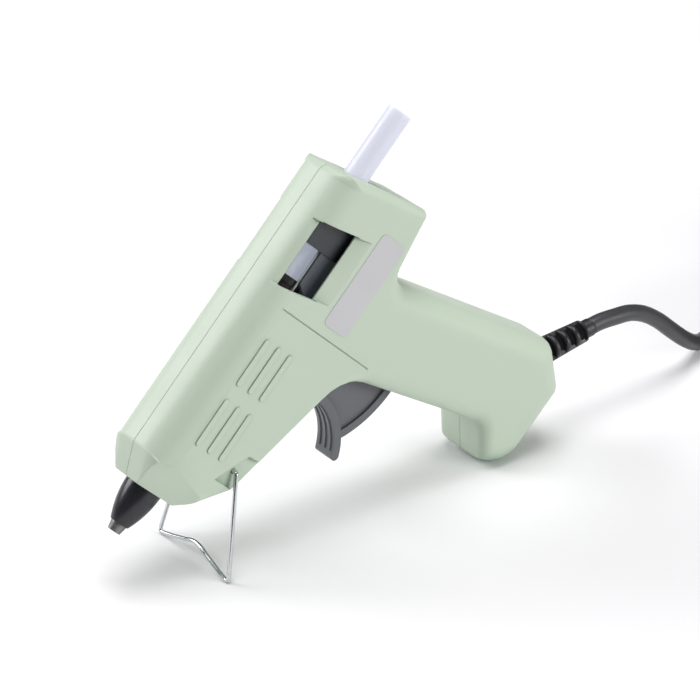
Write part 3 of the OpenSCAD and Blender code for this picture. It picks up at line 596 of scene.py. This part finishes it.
boot = object_from(bm, "strain_boot")
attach(boot, "body")
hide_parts("strain_relief")
dress("strain_relief", pvc)
boot_rubber = Finish("black boot rubber", (0.016, 0.016, 0.019), 0.4)
boot_rubber.tones(boot_rubber.noise(150, 3), (0.022, 0.022, 0.026))
boot_rubber.gloss(boot_rubber.noise(300, 3), 0.1)
boot_rubber.relief(boot_rubber.noise(900, 2), 0.00003, 0.35)
boot.data.materials.append(boot_rubber.material)
# The slot floors are the boot's rubber painted near black: painted shade deep in the slots
slot_floor_painted_shade = Finish("boot slot floors, painted shade", (0.003, 0.003, 0.004), 0.8)
slot_floor_painted_shade.tones(slot_floor_painted_shade.noise(300, 3), (0.005, 0.005, 0.006))
slot_floor_painted_shade.gloss(slot_floor_painted_shade.noise(300, 3), 0.1)
slot_floor_painted_shade.relief(slot_floor_painted_shade.noise(900, 2), 0.00003, 0.35)
slot_floor_painted_shade.shader.inputs["Specular IOR Level"].default_value = 0.1
boot.data.materials.append(slot_floor_painted_shade.material)

# ---------------------------------------------------------------- the plug and the tie
# The plug is the lead's plastic, moulded harder, round two nickel-plated pins. A strap of woven
# tape holds the spare lead together.
plug_plastic = Finish("plug plastic", (0.034, 0.034, 0.038), 0.36)
plug_plastic.soft_edges(0.0005)
plug_plastic.tones(plug_plastic.noise(60, 3), (0.045, 0.045, 0.05))
plug_plastic.gloss(plug_plastic.noise(120, 3), 0.06)
plug_plastic.relief(plug_plastic.noise(1800, 2), 0.00004, 0.4)
dress("plug_body", plug_plastic)

tie = Finish("tie tape", (0.03, 0.03, 0.032), 0.6)
tie.tones(tie.noise(400, 3), (0.055, 0.055, 0.06))
tie.gloss(tie.noise(300, 3), 0.08)
tie.relief(tie.noise(2500, 2), 0.0001, 0.6)
dress("cord_tie", tie)

nickel = Finish("nickel plate", (0.72, 0.7, 0.66), 0.2, metallic=1)
nickel.tones(nickel.noise(200, 3), (0.6, 0.58, 0.55))
nickel.gloss(nickel.noise(500, 3), 0.07)
nickel.relief(nickel.noise(1500, 2), 0.00002, 0.3)
dress("plug_pins", nickel, angle=40)

# ---------------------------------------------------------------- the works inside
# Cast aluminium, a ceramic heater, sprung steel and plain mouldings: mostly out of sight, but
# each as the real part looks when the shell is opened.
cast = Finish("cast aluminium", (0.52, 0.52, 0.53), 0.5, metallic=1)
cast.tones(cast.noise(180, 4), (0.4, 0.4, 0.41))
cast.gloss(cast.noise(500, 3), 0.1)
cast.relief(cast.noise(900, 4), 0.0001, 0.5)
dress("melt_chamber", cast)

ceramic = Finish("wrapped heater", (0.42, 0.25, 0.1), 0.35)
ceramic.tones(ceramic.noise(150, 3), (0.3, 0.17, 0.07))
ceramic.gloss(ceramic.noise(300, 3), 0.1)
ceramic.relief(ceramic.noise(700, 2), 0.00008, 0.5)
dress("ptc_heater", ceramic)

steel = Finish("sprung steel", (0.5, 0.5, 0.52), 0.33, metallic=1)
steel.tones(steel.noise(400, 3, stretch=(1, 1, 6)), (0.38, 0.38, 0.4))
steel.gloss(steel.noise(800, 3), 0.09)
steel.relief(steel.noise(1500, 2), 0.00002, 0.3)
for name in ("heater_clip", "sleeve_clamp", "grip_jaw", "return_spring", "jaw_pin", "trigger_pivot"):
    dress(name, steel, angle=35)

zinc = Finish("zinc plate", (0.6, 0.6, 0.58), 0.3, metallic=1)
zinc.tones(zinc.noise(300, 3), (0.48, 0.49, 0.46))
zinc.gloss(zinc.noise(600, 3), 0.08)
zinc.relief(zinc.noise(1500, 2), 0.00002, 0.3)
dress("case_screws", zinc)
dress("clamp_screws", zinc)

silicone = Finish("dark silicone", (0.03, 0.028, 0.028), 0.4)
silicone.tones(silicone.noise(100, 3), (0.045, 0.042, 0.042))
silicone.gloss(silicone.noise(200, 3), 0.06)
silicone.relief(silicone.noise(900, 2), 0.00004, 0.3)
dress("inlet_sleeve", silicone, angle=35)

inner_grey = Finish("grey inner moulding", (0.04, 0.044, 0.052), 0.34)
# A trace of glow stands for the light that the pale shell passes on inside
inner_grey.shader.inputs["Emission Color"].default_value = (0.75, 0.9, 1, 1)
inner_grey.shader.inputs["Emission Strength"].default_value = 0.016
inner_grey.tones(inner_grey.noise(70, 3), (0.062, 0.068, 0.08))
inner_grey.gloss(inner_grey.noise(150, 3), 0.06)
inner_grey.relief(inner_grey.noise(1200, 2), 0.00004, 0.3)
dress("carriage", inner_grey)
dress("cord_clamp", inner_grey)

cores = Finish("core insulation", (0.03, 0.07, 0.3), 0.4)
cores.tones(cores.noise(120, 2), (0.04, 0.09, 0.36))
cores.gloss(cores.noise(200, 2), 0.06)
cores.relief(cores.noise(900, 2), 0.00003, 0.3)
dress("heater_leads", cores, angle=40)

nylon = Finish("clear nylon", (0.72, 0.7, 0.62), 0.35)
nylon.shader.inputs["Subsurface Weight"].default_value = 0.4
nylon.shader.inputs["Subsurface Scale"].default_value = 0.002
nylon.tones(nylon.noise(150, 2), (0.78, 0.76, 0.68))
nylon.gloss(nylon.noise(250, 2), 0.06)
nylon.relief(nylon.noise(800, 2), 0.00004, 0.3)
dress("crimp_sleeves", nylon, angle=40)

# ---------------------------------------------------------------- what the window shows
# A bright bead runs along the top of each rail of the carriage, beside the stick: a painted highlight of
# the rail's edge. A thin cheek on each side of its collar stands a little proud of the rail, darker than
# the carriage as painted shade. Both ride with the carriage.
RAIL_OUTER = 7.0
RAIL_TOP = 1.2
COLLAR_FRONT = 78.5
COLLAR_REAR = 87.9
COLLAR_TOP = 8.6
BEAD_FRONT = 62.0
BEAD_Y = 5.95
BEAD_R = 0.3
BEAD_SIDES = 16
CHEEK_LOW = -8.2
CHEEK_T = 0.7
CHEEK_SUNK = 0.1
CHEEK_ROUNDING = 0.15

# painted highlight: a pale glossy strip along the rail's edge
highlight_bead_finish = Finish("rail edge, painted highlight", (0.8, 0.82, 0.82), 0.22)
highlight_bead_finish.tones(highlight_bead_finish.noise(200, 3), (0.7, 0.73, 0.74))
highlight_bead_finish.gloss(highlight_bead_finish.noise(300, 3), 0.06)
highlight_bead_finish.relief(highlight_bead_finish.noise(1500, 2), 0.00002, 0.3)
# painted shade: a darker copy of the carriage's grey moulding
shaded_cheek_finish = Finish("collar cheek, painted shade", (0.022, 0.024, 0.029), 0.36)
shaded_cheek_finish.tones(shaded_cheek_finish.noise(90, 3), (0.034, 0.037, 0.043))
shaded_cheek_finish.gloss(shaded_cheek_finish.noise(150, 3), 0.06)
shaded_cheek_finish.relief(shaded_cheek_finish.noise(1200, 2), 0.00004, 0.3)
for side_name, sign in (("left", -1), ("right", 1)):
    bead_ends = [at_gun(x, sign * BEAD_Y, RAIL_TOP) for x in (BEAD_FRONT, COLLAR_FRONT)]
    bead = tube(side_name + "_rail_bead", bead_ends, BEAD_R * MM, BEAD_SIDES)
    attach(bead, "carriage")
    bead.data.materials.append(highlight_bead_finish.material)
    inner = sign * (RAIL_OUTER - CHEEK_SUNK)
    outer = sign * (RAIL_OUTER + CHEEK_T)
    cheek = gun_box(
        side_name + "_collar_cheek",
        (COLLAR_FRONT, min(inner, outer), CHEEK_LOW),
        (COLLAR_REAR, max(inner, outer), COLLAR_TOP),
        CHEEK_ROUNDING,
    )
    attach(cheek, "carriage")
    cheek.data.materials.append(shaded_cheek_finish.material)
